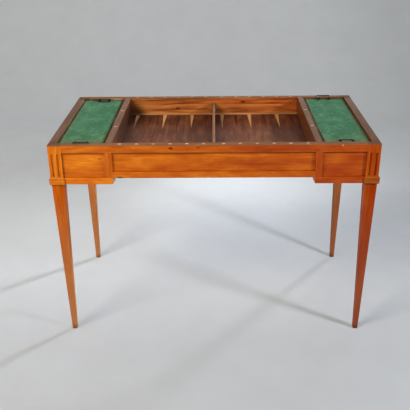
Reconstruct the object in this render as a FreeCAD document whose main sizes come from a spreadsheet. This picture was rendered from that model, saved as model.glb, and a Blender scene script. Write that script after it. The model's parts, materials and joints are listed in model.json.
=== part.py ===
"""A games table with a sunken points board between two lidded wells, on four tapered legs.

Millimetres, +Z up, +X along the table's length, +Y away from the near side. The origin is
on the floor under the middle of the table. Every piece is drawn in the frame of the side,
corner or lid that carries it, and its sizes are tied to the sheet of driving sizes.
"""
import FreeCAD
import Part
import Sketcher

import math
import os

Vector = FreeCAD.Vector

# Driving sizes
DRIVING_SIZES = {
    # whole table
    "table_width": 1100, "table_depth": 585, "table_height": 738,
    # frames of the long sides and of the ends
    "long_thickness": 24, "end_thickness": 26, "band_height": 27, "edge_ease": 1,
    "end_section_drop": 139, "end_rail_height": 22, "rail_corner_round": 4,
    "centre_section_drop": 117, "centre_rail_height": 21, "stile_width": 23, "panel_recess": 7,
    # frame joints
    "groove_setback": 10, "groove_width": 8, "groove_depth": 6,
    "tenon_thickness": 8, "tenon_length": 20, "tenon_margin": 5,
    "joint_clearance": 0.2, "joint_end_clearance": 1,
    # legs and collars
    "post_side": 44, "leg_top_side": 41, "foot_side": 17, "leg_ease": 1.2,
    "collar_drop": 115, "collar_height": 27, "collar_proud": 4, "collar_ease": 3.5,
    "flute_radius": 3.5, "flute_spacing": 19, "flute_top_drop": 32, "flute_foot_drop": 110,
    # partitions, divider and board
    "partition_thickness": 22, "partition_tongue_width": 8, "partition_tongue_depth": 6,
    "partition_tongue_drop": 8,
    "divider_thickness": 10, "divider_drop": 20, "divider_housing": 3, "divider_round": 2,
    "floor_drop": 70, "floor_thickness": 10, "plank_gap": 0.4, "bearer_side": 12,
    "bead_height": 6.5, "bead_depth": 6, "bead_round": 4.5,
    "point_base": 15.5, "point_length": 172, "inlay_thickness": 1.2,
    # peg bushes
    "bush_radius": 6, "bush_depth": 12, "bush_clearance": 0.15,
    "peg_hole_radius": 2.3, "partition_peg_offset": 96,
    # wells and lids
    "well_width": 164, "well_drop": 122, "well_bottom_thickness": 8, "ledge_side": 10,
    "lid_drop": 7, "lid_thickness": 9, "lid_clearance": 2, "baize_thickness": 1.2,
    # bail pulls
    "pull_spacing": 38, "pull_inset": 10, "pivot_height": 5.5, "eye_radius": 4, "eye_width": 5,
    "stem_width": 6, "plate_side": 12, "plate_thickness": 1.2, "shank_side": 4,
    "wire_radius": 1.75, "bail_reach": 20, "bail_bend": 3, "bail_side_gap": 0.8,
    "pin_clearance": 0.05, "rest_clearance": 0.3,
}
POINTS_PER_HALF = 6
PLANKS_PER_HALF = 3
# sides of the turned and forged round sections
BUSH_SIDES = 12
PEG_HOLE_SIDES = 6
WIRE_SIDES = 6
EYE_SIDES = 8
# how far a measured place may lie from the size that it is matched to
MATCH = 0.01


class Size:
    """A length or angle together with the sheet formula that gives it."""

    def __init__(self, text, value):
        self.text = text
        self.value = float(value)

    def __add__(self, other):
        other = as_size(other)
        return Size(f"({self.text} + {other.text})", self.value + other.value)

    def __sub__(self, other):
        other = as_size(other)
        return Size(f"({self.text} - {other.text})", self.value - other.value)

    def __mul__(self, other):
        other = as_size(other)
        return Size(f"({self.text} * {other.text})", self.value * other.value)

    def __truediv__(self, other):
        other = as_size(other)
        return Size(f"({self.text} / {other.text})", self.value / other.value)

    def __neg__(self):
        return Size(f"(-1 * {self.text})", -self.value)

    def __radd__(self, other):
        return as_size(other) + self

    def __rsub__(self, other):
        return as_size(other) - self


def as_size(value):
    """A Size from a Size or a plain number."""
    return value if isinstance(value, Size) else Size(f"({value:.12g})", value)


def arc_sine(ratio):
    """The angle in degrees whose sine is this ratio."""
    return Size(f"(asin({ratio.text}) / 1 deg)", math.degrees(math.asin(ratio.value)))


def arc_tangent(ratio):
    """The angle in degrees whose tangent is this ratio."""
    return Size(f"(atan({ratio.text}) / 1 deg)", math.degrees(math.atan(ratio.value)))


def root(square):
    """The square root of a Size."""
    return Size(f"sqrt({square.text})", math.sqrt(square.value))


document = FreeCAD.newDocument("GamesTable")
sheet = document.addObject("Spreadsheet::Sheet", "Sizes")
S = {}
for sheet_row, (alias, number) in enumerate(DRIVING_SIZES.items(), start=1):
    sheet.set(f"A{sheet_row}", alias)
    sheet.set(f"B{sheet_row}", str(number))
    sheet.setAlias(f"B{sheet_row}", alias)
    S[alias] = Size(f"Sizes.{alias}", number)
document.recompute()

# Heights, measured up from the floor
TOP = S["table_height"]
BAND_FOOT = TOP - S["band_height"]
END_FOOT = TOP - S["end_section_drop"]
END_RAIL_TOP = END_FOOT + S["end_rail_height"]
CENTRE_FOOT = TOP - S["centre_section_drop"]
CENTRE_RAIL_TOP = CENTRE_FOOT + S["centre_rail_height"]
COLLAR_TOP = TOP - S["collar_drop"]
COLLAR_FOOT = COLLAR_TOP - S["collar_height"]
FLOOR_TOP = TOP - S["floor_drop"]
FLOOR_FOOT = FLOOR_TOP - S["floor_thickness"]
WELL_FLOOR = TOP - S["well_drop"]
WELL_FOOT = WELL_FLOOR - S["well_bottom_thickness"]
BAIZE_TOP = TOP - S["lid_drop"]
LID_TOP = BAIZE_TOP - S["baize_thickness"]
LID_FOOT = LID_TOP - S["lid_thickness"]
PIVOT_LEVEL = BAIZE_TOP + S["pivot_height"]

# Plan sizes
HALF_WIDTH = S["table_width"] / 2
HALF_DEPTH = S["table_depth"] / 2
POST = S["post_side"]
LONG_SPAN = HALF_WIDTH - POST
END_SPAN = HALF_DEPTH - POST
INNER_DEPTH = HALF_DEPTH - S["long_thickness"]
WELL_OUTER = HALF_WIDTH - S["end_thickness"]
WELL_INNER = WELL_OUTER - S["well_width"]
WELL_AXIS = (WELL_INNER + WELL_OUTER) / 2
BOARD_END = WELL_INNER - S["partition_thickness"]
STILE_OUTER = BOARD_END + S["stile_width"]
PARTITION_AXIS = BOARD_END + S["partition_thickness"] / 2
DIVIDER_FACE = S["divider_thickness"] / 2
HALF_BOARD = BOARD_END - DIVIDER_FACE
POINT_PITCH = HALF_BOARD / POINTS_PER_HALF
PLANK_PITCH = HALF_BOARD / PLANKS_PER_HALF
POINT_FOOT = INNER_DEPTH - S["bead_depth"]
LID_HALF_X = S["well_width"] / 2 - S["lid_clearance"]
LID_HALF_Y = INNER_DEPTH - S["lid_clearance"]
GROOVE_NEAR = S["groove_setback"]
GROOVE_FAR = GROOVE_NEAR + S["groove_width"]
TONGUE_REACH = S["groove_depth"] - S["joint_end_clearance"]
TENON_POCKET = S["tenon_length"] + S["joint_end_clearance"]
SLACK = S["joint_clearance"]
ZERO = as_size(0)

nodes = []


class Seat:
    """Where a group of pieces is drawn: a turn about Z and the place of its local origin."""

    def __init__(self, turn, x, y):
        self.turn = turn
        self.x = as_size(x)
        self.y = as_size(y)


FRONT = Seat(0, 0, -HALF_DEPTH)
RIGHT = Seat(90, HALF_WIDTH, 0)
BACK = Seat(180, 0, HALF_DEPTH)
LEFT = Seat(270, -HALF_WIDTH, 0)
MIDDLE = Seat(0, 0, 0)


def start_piece(label, seat):
    """A new empty body that bears the piece's name and stands in its seat."""
    body = document.addObject("PartDesign::Body", label)
    body.Label = label
    body.Placement = FreeCAD.Placement(
        Vector(seat.x.value, seat.y.value, 0), FreeCAD.Rotation(Vector(0, 0, 1), seat.turn))
    body.setExpression("Placement.Base.x", seat.x.text)
    body.setExpression("Placement.Base.y", seat.y.text)
    nodes.append(body)
    return body


def rectangle(x_low, x_high, y_low, y_high):
    """The four corners of a rectangle, as sizes."""
    return [(x_low, y_low), (x_high, y_low), (x_high, y_high), (x_low, y_high)]


def round_outline(centre, radius, sides):
    """The corners of a regular polygon about a centre, with a flat across its second axis."""
    half_side = math.pi / sides
    turns = [math.pi / 2 + half_side * (2 * k + 1) for k in range(sides)]
    return [(centre[0] + radius * math.cos(turn), centre[1] + radius * math.sin(turn)) for turn in turns]


def as_vector(place):
    """A point in a sketch's plane from its two sizes."""
    return Vector(as_size(place[0]).value, as_size(place[1]).value, 0)


def tie(sketch, kind, geometry, corner, size):
    """Hold a sketch point at a size from the sketch's origin."""
    place = sketch.addConstraint(Sketcher.Constraint(kind, -1, 1, geometry, corner, size.value))
    sketch.setExpression(f"Constraints[{place}]", size.text)


def draw_polygon(sketch, corners):
    """Add a closed polygon to the sketch, each corner tied to its sizes."""
    corners = [(as_size(x), as_size(y)) for x, y in corners]
    count = len(corners)
    ends = [as_vector(corner) for corner in corners]
    lines = [sketch.addGeometry(Part.LineSegment(ends[k], ends[(k + 1) % count]), False)
             for k in range(count)]
    for k in range(count):
        sketch.addConstraint(Sketcher.Constraint("Coincident", lines[k], 2, lines[(k + 1) % count], 1))
    for line, (x, y) in zip(lines, corners):
        tie(sketch, "DistanceX", line, 1, x)
        tie(sketch, "DistanceY", line, 1, y)


def draw_circle(sketch, centre, radius):
    """Add a circle to the sketch, with its centre and radius tied to their sizes."""
    x, y = (as_size(value) for value in centre)
    ring = sketch.addGeometry(
        Part.Circle(Vector(x.value, y.value, 0), Vector(0, 0, 1), radius.value), False)
    tie(sketch, "DistanceX", ring, 3, x)
    tie(sketch, "DistanceY", ring, 3, y)
    place = sketch.addConstraint(Sketcher.Constraint("Radius", ring, radius.value))
    sketch.setExpression(f"Constraints[{place}]", radius.text)


def plane_of(body, plane):
    """One of the body's own planes."""
    return next(item for item in body.Origin.OriginFeatures if item.Role == plane)


def start_sketch(body, plane, level=ZERO):
    """A sketch on one of the body's own planes, raised to a level."""
    sketch = body.newObject("Sketcher::SketchObject", f"{body.Label}_sketch")
    sketch.AttachmentSupport = [(plane_of(body, plane), "")]
    sketch.MapMode = "FlatFace"
    # the XZ plane faces -Y, so a level along +Y is a negative offset there
    level = -level if plane == "XZ_Plane" else level
    sketch.setExpression("AttachmentOffset.Base.z", level.text)
    return sketch


def sweep(body, kind, plane, low, high, polygons=(), circles=()):
    """A pad or pocket of closed outlines, from a low to a high level along the plane's axis."""
    low, high = as_size(low), as_size(high)
    sketch = start_sketch(body, plane, low)
    for corners in polygons:
        draw_polygon(sketch, corners)
    for centre, radius in circles:
        draw_circle(sketch, centre, radius)
    feature = body.newObject(f"PartDesign::{kind}", f"{body.Label}_{kind.lower()}")
    feature.Profile = sketch
    feature.setExpression("Length", (high - low).text)
    # a pocket runs against its sketch's normal, and the XZ plane's normal is turned round too
    feature.Reversed = (kind == "Pocket") != (plane == "XZ_Plane")
    return feature


def pad(body, plane, low, high, polygons=(), circles=()):
    """Add material."""
    return sweep(body, "Pad", plane, low, high, polygons, circles)


def pocket(body, plane, low, high, polygons=(), circles=()):
    """Take material away, and make sure that some went."""
    document.recompute()
    before = body.Shape.Volume
    feature = sweep(body, "Pocket", plane, low, high, polygons, circles)
    document.recompute()
    if not body.Shape.Volume < before:
        raise RuntimeError(f"a cut in {body.Label} took nothing away")
    return feature


def repeat(body, feature, axis, spacing, count):
    """Repeat a feature in a row along one axis of its own sketch."""
    pattern = body.newObject("PartDesign::LinearPattern", f"{body.Label}_row")
    pattern.Originals = [feature]
    pattern.Direction = (feature.Profile[0], [axis])
    pattern.setExpression("Length", (spacing * (count - 1)).text)
    pattern.Occurrences = count
    body.Tip = pattern
    document.recompute()
    return pattern


def soften(body, kind, chosen, size):
    """Fillet or chamfer the edges of the newest feature that the test picks by their middles."""
    document.recompute()
    base = body.Tip
    names = [f"Edge{k}" for k, edge in enumerate(base.Shape.Edges, start=1) if chosen(edge)]
    feature = body.newObject(f"PartDesign::{kind}", f"{body.Label}_{kind.lower()}")
    feature.Base = (base, names)
    feature.setExpression("Radius" if kind == "Fillet" else "Size", size.text)
    return feature


def near(value, size):
    """Whether a measured number is this size."""
    return abs(value - as_size(size).value) < MATCH


# Legs and collars

def leg(label, seat, along, across):
    """A fluted post with an inner corner cut back to the well, over a tapered square leg.

    along and across are the thicknesses of the frames on the post's two outer sides.
    """
    body = start_piece(label, seat)
    square = rectangle(ZERO, POST, ZERO, POST)
    pad(body, "XY_Plane", COLLAR_FOOT, TOP, [square])
    pocket(body, "XY_Plane", WELL_FOOT, TOP, [rectangle(across, POST, along, POST)])
    soften(body, "Chamfer", outer_post_edge, S["edge_ease"])
    taper(body)
    for plane, thickness in (("YZ_Plane", along), ("XZ_Plane", across)):
        cut_post_joints(body, plane, thickness)
    cut_flutes(body)
    return body


def outer_post_edge(edge):
    """The post's outer upright corner, and its two outer edges at the top."""
    middle = edge.CenterOfMass
    upright = near(middle.x, 0) and near(middle.y, 0)
    at_top = near(middle.z, TOP) and (near(middle.x, 0) or near(middle.y, 0))
    return upright or at_top


def taper(body):
    """The leg below the collar, a square that narrows evenly to the foot, its corners eased."""
    wedge = body.newObject("PartDesign::AdditiveWedge", f"{body.Label}_taper")
    wedge.AttachmentSupport = [(plane_of(body, "XZ_Plane"), "")]
    wedge.MapMode = "FlatFace"
    # it stands on the XZ plane, so its own Y runs up the leg and its own Z along -Y
    limits = {"Ymin": ZERO, "Ymax": COLLAR_FOOT}
    for end, side in (("", S["foot_side"]), ("2", S["leg_top_side"])):
        low, high = (POST - side) / 2, (POST + side) / 2
        limits.update({f"X{end}min": low, f"X{end}max": high, f"Z{end}min": -high, f"Z{end}max": -low})
    for limit, size in limits.items():
        wedge.setExpression(limit, size.text)

    def slanting(edge):
        return near(edge.CenterOfMass.z, COLLAR_FOOT / 2) and edge.Length > COLLAR_FOOT.value

    soften(body, "Chamfer", slanting, S["leg_ease"])


def cut_post_joints(body, plane, thickness):
    """Mortises for the two rails and a groove for the panel, in one inner face of the post."""
    half = S["tenon_thickness"] / 2 + SLACK
    rails = [rectangle(thickness / 2 - half, thickness / 2 + half, low - SLACK, high + SLACK)
             for low, high in (top_tenon_heights(), end_tenon_heights())]
    pocket(body, plane, POST - TENON_POCKET, POST, rails)
    groove = rectangle(GROOVE_NEAR - SLACK, GROOVE_FAR + SLACK,
                       END_RAIL_TOP - S["groove_depth"], BAND_FOOT + S["groove_depth"])
    pocket(body, plane, POST - S["groove_depth"], POST, [groove])


def cut_flutes(body):
    """Two stopped half-round flutes in each outer face of the post."""
    axes = [POST / 2 + S["flute_spacing"] / 2 * side for side in (-1, 1)]
    centres = [(axis, ZERO) for axis in axes] + [(ZERO, axis) for axis in axes]
    pocket(body, "XY_Plane", TOP - S["flute_foot_drop"], TOP - S["flute_top_drop"],
           circles=[(centre, S["flute_radius"]) for centre in centres])


def collar(label, seat):
    """The square moulding round the head of the leg, cut away where the rails meet the post."""
    body = start_piece(label, seat)
    outer_low = -S["collar_proud"]
    outer_high = POST + S["collar_proud"]
    pad(body, "XY_Plane", COLLAR_FOOT, COLLAR_TOP,
        [rectangle(outer_low, outer_high, outer_low, outer_high), rectangle(ZERO, POST, ZERO, POST)])

    def outside(edge):
        middle = edge.CenterOfMass
        level = near(middle.z, COLLAR_FOOT) or near(middle.z, COLLAR_TOP)
        return level and any(near(place, limit) for place in (middle.x, middle.y)
                             for limit in (outer_low, outer_high))

    soften(body, "Chamfer", outside, S["collar_ease"])
    past = outer_high + S["collar_proud"]
    rails_meet = [(POST, ZERO), (past, ZERO), (past, past), (ZERO, past), (ZERO, POST), (POST, POST)]
    pocket(body, "XY_Plane", END_FOOT, COLLAR_TOP, [rails_meet])
    return body


# Frames of the four sides, drawn along local X with local Y going inwards

def top_tenon_heights():
    """The lowest and highest level of a top rail's tenon."""
    return BAND_FOOT + S["groove_depth"] + S["tenon_margin"], TOP - S["tenon_margin"]


def end_tenon_heights():
    """The lowest and highest level of an end section's lower rail tenon."""
    return END_FOOT + S["tenon_margin"], END_RAIL_TOP - S["groove_depth"] - S["joint_end_clearance"]


def grooved_rail(body, x_low, x_high, z_low, z_high, thickness, groove_up):
    """A straight rail with a groove for panels along its upper or lower edge."""
    near_side = GROOVE_NEAR - SLACK
    far_side = GROOVE_FAR + SLACK
    if groove_up:
        foot = z_high - S["groove_depth"]
        outline = [(ZERO, z_low), (thickness, z_low), (thickness, z_high), (far_side, z_high),
                   (far_side, foot), (near_side, foot), (near_side, z_high), (ZERO, z_high)]
    else:
        roof = z_low + S["groove_depth"]
        outline = [(ZERO, z_low), (near_side, z_low), (near_side, roof), (far_side, roof),
                   (far_side, z_low), (thickness, z_low), (thickness, z_high), (ZERO, z_high)]
    pad(body, "YZ_Plane", x_low, x_high, [outline])


def add_tenon(body, end, side, thickness, heights):
    """A tenon at the middle of a rail's thickness, out of the end that faces this side."""
    half = S["tenon_thickness"] / 2
    outline = rectangle(thickness / 2 - half, thickness / 2 + half, *heights)
    reach = end + S["tenon_length"]
    low, high = (end, reach) if side > 0 else (-reach, -end)
    pad(body, "YZ_Plane", low, high, [outline])


def top_rail(label, seat, span, thickness):
    """The band along the top of one side, tenoned into both posts, its outer edge eased."""
    body = start_piece(label, seat)
    grooved_rail(body, -span, span, BAND_FOOT, TOP, thickness, groove_up=False)
    soften(body, "Chamfer", lambda edge: near(edge.CenterOfMass.y, 0) and near(edge.CenterOfMass.z, TOP),
           S["edge_ease"])
    for side in (-1, 1):
        add_tenon(body, span, side, thickness, top_tenon_heights())
    return body


def peg_centres():
    """Places of the pegs along a long rail: one at the middle of each point's foot."""
    first = DIVIDER_FACE + POINT_PITCH / 2
    right = [first + POINT_PITCH * k for k in range(POINTS_PER_HALF)]
    return [-x for x in reversed(right)] + right


def long_peg_rows():
    """Rows of pegs along a long rail: a first place, an axis, a spacing and a count for each half."""
    first, last = peg_centres()[POINTS_PER_HALF], peg_centres()[-1]
    middle = S["long_thickness"] / 2
    return [((start, middle), "H_Axis", POINT_PITCH, POINTS_PER_HALF) for start in (-last, first)]


def partition_peg_row(axis):
    """The row of two pegs on a partition."""
    offset = S["partition_peg_offset"]
    return (axis, -offset), "V_Axis", offset * 2, 2


def cut_peg_seats(body, rows):
    """Blind seats for the bushes in a rail's upper face; a seat's floor closes its bush's hole."""
    seat_radius = S["bush_radius"] + S["bush_clearance"]
    for centre, axis, spacing, count in rows:
        outline = round_outline(centre, seat_radius, BUSH_SIDES)
        repeat(body, pocket(body, "XY_Plane", TOP - S["bush_depth"], TOP, [outline]), axis, spacing, count)


def partition_housings(thickness):
    """Outlines in plan of the two housings that take the partitions' end tongues."""
    half = S["partition_tongue_width"] / 2 + SLACK
    return [rectangle(axis - half, axis + half, thickness - S["partition_tongue_depth"], thickness)
            for axis in (-PARTITION_AXIS, PARTITION_AXIS)]


def divider_housing(thickness):
    """Outline in plan of the housing that takes one end of the divider."""
    return rectangle(-DIVIDER_FACE, DIVIDER_FACE, thickness - S["divider_housing"], thickness)


def long_top_rail(label, seat):
    """A top rail of a long side, with peg seats, and housings for the partitions and the divider."""
    thickness = S["long_thickness"]
    body = top_rail(label, seat, LONG_SPAN, thickness)
    cut_peg_seats(body, long_peg_rows())
    pocket(body, "XY_Plane", BAND_FOOT, TOP - S["partition_tongue_drop"], partition_housings(thickness))
    pocket(body, "XY_Plane", BAND_FOOT, TOP - S["divider_drop"], [divider_housing(thickness)])
    return body


def stile(label, seat, side):
    """An upright between the centre panel and an end panel, grooved on both edges."""
    thickness = S["long_thickness"]
    body = start_piece(label, seat)
    depth = S["groove_depth"]
    near_side = GROOVE_NEAR - SLACK
    far_side = GROOVE_FAR + SLACK
    inner, outer = BOARD_END, STILE_OUTER
    section = [(inner, ZERO), (outer, ZERO), (outer, near_side), (outer - depth, near_side),
               (outer - depth, far_side), (outer, far_side), (outer, thickness), (inner, thickness),
               (inner, far_side), (inner + depth, far_side), (inner + depth, near_side), (inner, near_side)]
    pad(body, "XY_Plane", END_RAIL_TOP, BAND_FOOT, [[(x * side, y) for x, y in section]])
    stub = [(x * side, y) for x, y in rectangle(inner + depth, outer - depth, GROOVE_NEAR, GROOVE_FAR)]
    pad(body, "XY_Plane", BAND_FOOT, BAND_FOOT + TONGUE_REACH, [stub])
    pad(body, "XY_Plane", END_RAIL_TOP - depth, END_RAIL_TOP, [stub])
    housing = partition_housings(thickness)[0 if side < 0 else 1]
    pocket(body, "XY_Plane", END_RAIL_TOP, BAND_FOOT, [housing])
    return body


def centre_lower_rail(label, seat):
    """The rail under the centre panel, stub-tenoned into the grooves of the two stiles."""
    body = start_piece(label, seat)
    grooved_rail(body, -BOARD_END, BOARD_END, CENTRE_FOOT, CENTRE_RAIL_TOP, S["long_thickness"], True)
    stub = rectangle(GROOVE_NEAR, GROOVE_FAR, CENTRE_FOOT + S["joint_end_clearance"],
                     CENTRE_RAIL_TOP - S["groove_depth"] - S["joint_end_clearance"])
    reach = BOARD_END + TONGUE_REACH
    pad(body, "YZ_Plane", BOARD_END, reach, [stub])
    pad(body, "YZ_Plane", -reach, -BOARD_END, [stub])
    return body


def end_section_rail(label, seat, side):
    """The lower rail of an end section on a long side, its free lower corner rounded."""
    body = start_piece(label, seat)
    thickness = S["long_thickness"]
    low, high = (BOARD_END, LONG_SPAN) if side > 0 else (-LONG_SPAN, -BOARD_END)
    grooved_rail(body, low, high, END_FOOT, END_RAIL_TOP, thickness, True)

    def free_corner(edge):
        return near(edge.CenterOfMass.x, BOARD_END * side) and near(edge.CenterOfMass.z, END_FOOT)

    soften(body, "Fillet", free_corner, S["rail_corner_round"])
    add_tenon(body, LONG_SPAN, side, thickness, end_tenon_heights())
    return body


def end_lower_rail(label, seat):
    """The lower rail of a short side, tenoned into both posts."""
    body = start_piece(label, seat)
    grooved_rail(body, -END_SPAN, END_SPAN, END_FOOT, END_RAIL_TOP, S["end_thickness"], True)
    for side in (-1, 1):
        add_tenon(body, END_SPAN, side, S["end_thickness"], end_tenon_heights())
    return body


def panel(label, seat, x_low, x_high, z_low, thickness):
    """A panel set back from the outer face, flush inside, held by a tongue all round."""
    body = start_piece(label, seat)
    tongue = rectangle(x_low - TONGUE_REACH, x_high + TONGUE_REACH,
                       z_low - S["groove_depth"], BAND_FOOT + TONGUE_REACH)
    pad(body, "XZ_Plane", GROOVE_NEAR, GROOVE_FAR, [tongue])
    pad(body, "XZ_Plane", S["panel_recess"], thickness, [rectangle(x_low, x_high, z_low, BAND_FOOT)])
    return body


def centre_panel(label, seat):
    """The long panel beside the board, housed for the end of the divider."""
    thickness = S["long_thickness"]
    body = panel(label, seat, -BOARD_END, BOARD_END, CENTRE_RAIL_TOP, thickness)
    pocket(body, "XY_Plane", FLOOR_FOOT, BAND_FOOT, [divider_housing(thickness)])
    return body


# Inside of the carcase

def partition(label, side):
    """The cross wall between the board and a well, its end tongues housed in the long sides."""
    body = start_piece(label, Seat(0, PARTITION_AXIS * side, 0))
    half = S["partition_thickness"] / 2
    tongue = S["partition_tongue_width"] / 2
    reach = INNER_DEPTH + S["partition_tongue_depth"] - S["joint_end_clearance"]
    pad(body, "XY_Plane", END_FOOT, TOP, [rectangle(-half, half, -INNER_DEPTH, INNER_DEPTH)])
    pad(body, "XY_Plane", END_RAIL_TOP, TOP - S["partition_tongue_drop"] - SLACK,
        [rectangle(-tongue, tongue, -reach, reach)])
    cut_peg_seats(body, [partition_peg_row(ZERO)])
    return body


def divider(label):
    """The low bar across the middle of the board, its upper edges rounded."""
    body = start_piece(label, MIDDLE)
    reach = INNER_DEPTH + S["divider_housing"]
    level = TOP - S["divider_drop"]
    pad(body, "XY_Plane", FLOOR_FOOT, level, [rectangle(-DIVIDER_FACE, DIVIDER_FACE, -reach, reach)])

    def upper_side(edge):
        return near(edge.CenterOfMass.z, level) and near(edge.CenterOfMass.y, 0)

    soften(body, "Fillet", upper_side, S["divider_round"])
    return body


def points(light):
    """Outlines in plan of the light or the dark points, alternating along and across the board."""
    outlines = []
    half = S["point_base"] / 2
    tip = POINT_FOOT - S["point_length"]
    for place, x in enumerate(peg_centres()):
        for side in (-1, 1):
            foot = POINT_FOOT * side
            if (place % 2 == 0) == (light == (side > 0)):
                outlines.append([(x - half, foot), (x + half, foot), (x, tip * side)])
    return outlines


def floor_planks(label, side):
    """The planks of one half of the board, with shallow beds for the inlaid points."""
    body = start_piece(label, MIDDLE)
    half_gap = S["plank_gap"] / 2
    planks = []
    for k in range(PLANKS_PER_HALF):
        low = DIVIDER_FACE + PLANK_PITCH * k + (ZERO if k == 0 else half_gap)
        high = DIVIDER_FACE + PLANK_PITCH * (k + 1) - (ZERO if k == PLANKS_PER_HALF - 1 else half_gap)
        planks.append(rectangle(low * side, high * side, -INNER_DEPTH, INNER_DEPTH))
    pad(body, "XY_Plane", FLOOR_FOOT, FLOOR_TOP, planks)
    beds = [corners for corners in points(True) + points(False) if corners[2][0].value * side > 0]
    pocket(body, "XY_Plane", FLOOR_TOP - S["inlay_thickness"], FLOOR_TOP, beds)
    return body


def inlaid_points(label, light):
    """The thin wedges of light or dark wood let into the floor."""
    body = start_piece(label, MIDDLE)
    pad(body, "XY_Plane", FLOOR_TOP - S["inlay_thickness"], FLOOR_TOP, points(light))
    return body


def strips(label, x_ranges, depth, low, high):
    """Straight strips against the inner faces of both long sides, one for each range of X."""
    body = start_piece(label, MIDDLE)
    outlines = []
    for x_low, x_high in x_ranges:
        outlines.append(rectangle(x_low, x_high, INNER_DEPTH - depth, INNER_DEPTH))
        outlines.append(rectangle(x_low, x_high, -INNER_DEPTH, depth - INNER_DEPTH))
    pad(body, "XY_Plane", low, high, outlines)
    return body


def floor_beads(label):
    """Rounded beads along the foot of both long walls of the board."""
    level = FLOOR_TOP + S["bead_height"]
    halves = [(-BOARD_END, -DIVIDER_FACE), (DIVIDER_FACE, BOARD_END)]
    body = strips(label, halves, S["bead_depth"], FLOOR_TOP, level)

    def inner_top(edge):
        return near(edge.CenterOfMass.z, level) and near(abs(edge.CenterOfMass.y), POINT_FOOT)

    soften(body, "Fillet", inner_top, S["bead_round"])
    return body


def both_ends(low, high):
    """A range of X in the right well, and its mirror image in the left one."""
    return [(low, high), (-high, -low)]


def peg_bushes(label, seat, rows):
    """Turned bone sleeves, flush with the rail, each round a peg hole."""
    body = start_piece(label, seat)
    for centre, axis, spacing, count in rows:
        ring = [round_outline(centre, S["bush_radius"], BUSH_SIDES),
                round_outline(centre, S["peg_hole_radius"], PEG_HOLE_SIDES)]
        repeat(body, pad(body, "XY_Plane", TOP - S["bush_depth"], TOP, ring), axis, spacing, count)
    return body


def well_bottom(label, side):
    """The floor of a well, resting on the shelves of two posts and on its bearers."""
    body = start_piece(label, Seat(0, WELL_AXIS * side, 0))
    half = S["well_width"] / 2
    pad(body, "XY_Plane", WELL_FOOT, WELL_FLOOR, [rectangle(-half, half, -INNER_DEPTH, INNER_DEPTH)])
    return body


# Lids and their bail pulls

PIVOT_Y = LID_HALF_Y - S["pull_inset"]
EYE_X = S["pull_spacing"] / 2
EYE_FACE = EYE_X + S["eye_width"] / 2
ARM_X = EYE_FACE + S["bail_side_gap"] + S["bail_bend"]
EYE_CENTRES = [(EYE_X * i, PIVOT_Y * j) for i in (-1, 1) for j in (-1, 1)]
# an eye's hole clears the wire's corners as the bail turns
PIN_HOLE = (S["wire_radius"] + S["pin_clearance"]) / math.cos(math.pi / EYE_SIDES)


def lid_layer(label, side, low, high):
    """One flat layer of a lid, bored for the shanks of the eyes."""
    body = start_piece(label, Seat(0, WELL_AXIS * side, 0))
    pad(body, "XY_Plane", low, high, [rectangle(-LID_HALF_X, LID_HALF_X, -LID_HALF_Y, LID_HALF_Y)])
    pocket(body, "XY_Plane", low, high, squares_on_eyes(S["shank_side"] + SLACK * 2))
    return body


def squares_on_eyes(side, depth=None):
    """Outlines in plan of a square, or a rectangle of another depth, at each eye of a lid."""
    half_x, half_y = side / 2, (depth or side) / 2
    return [rectangle(x - half_x, x + half_x, y - half_y, y + half_y) for x, y in EYE_CENTRES]


def lid_eyes(label, side):
    """Four forged eyes: a square shank through the lid, a plate on the baize, a stem and a bored head."""
    body = start_piece(label, Seat(0, WELL_AXIS * side, 0))
    plate_top = BAIZE_TOP + S["plate_thickness"]
    pad(body, "XY_Plane", BAIZE_TOP, plate_top, squares_on_eyes(S["plate_side"]))
    pad(body, "XY_Plane", LID_FOOT, BAIZE_TOP, squares_on_eyes(S["shank_side"]))
    pad(body, "XY_Plane", plate_top, PIVOT_LEVEL, squares_on_eyes(S["eye_width"], S["stem_width"]))
    heads = [(PIVOT_Y * j, PIVOT_LEVEL) for j in (-1, 1)]
    half = S["eye_width"] / 2
    rims = [round_outline(head, S["eye_radius"], EYE_SIDES) for head in heads]
    holes = [round_outline(head, PIN_HOLE, EYE_SIDES) for head in heads]
    for i in (-1, 1):
        pad(body, "YZ_Plane", EYE_X * i - half, EYE_X * i + half, rims)
    pocket(body, "YZ_Plane", -EYE_FACE, EYE_FACE, holes)
    return body


def bail_rest_angles():
    """How far a bail dips onto the baize, and how far it leans up over the rail's inner edge."""
    touching = S["wire_radius"] + S["rest_clearance"]
    dip = arc_sine((S["pivot_height"] - touching) / S["bail_reach"])
    away = S["pull_inset"] + S["lid_clearance"]
    up = S["lid_drop"] - S["pivot_height"]
    lean = arc_tangent(up / away) + arc_sine(touching / root(away * away + up * up))
    return dip, lean


def bail(label, side, row, folded_in):
    """A bail of forged six-sided wire, its turned-in ends in two eyes, lying on the baize or the rail.

    side is the lid, row the edge of the lid (-1 near, 1 far).
    """
    body = start_piece(label, Seat(0, WELL_AXIS * side, PIVOT_Y * row))
    dip, lean = bail_rest_angles()
    to_far_side = folded_in == (row < 0)
    if folded_in:
        turn = -dip if to_far_side else dip + 180
    else:
        turn = lean if to_far_side else 180 - lean
    body.Placement = FreeCAD.Placement(
        body.Placement.Base, FreeCAD.Rotation(Vector(1, 0, 0), turn.value))
    body.setExpression("Placement.Base.z", PIVOT_LEVEL.text)
    body.setExpression("Placement.Rotation.Angle", turn.text)
    start = EYE_X - S["eye_width"] / 2
    section = start_sketch(body, "YZ_Plane", -start)
    draw_polygon(section, round_outline((ZERO, ZERO), S["wire_radius"], WIRE_SIDES))
    pipe = body.newObject("PartDesign::AdditivePipe", f"{label}_wire")
    pipe.Profile = section
    pipe.Spine = (bail_path(body, start), [])
    return body


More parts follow.
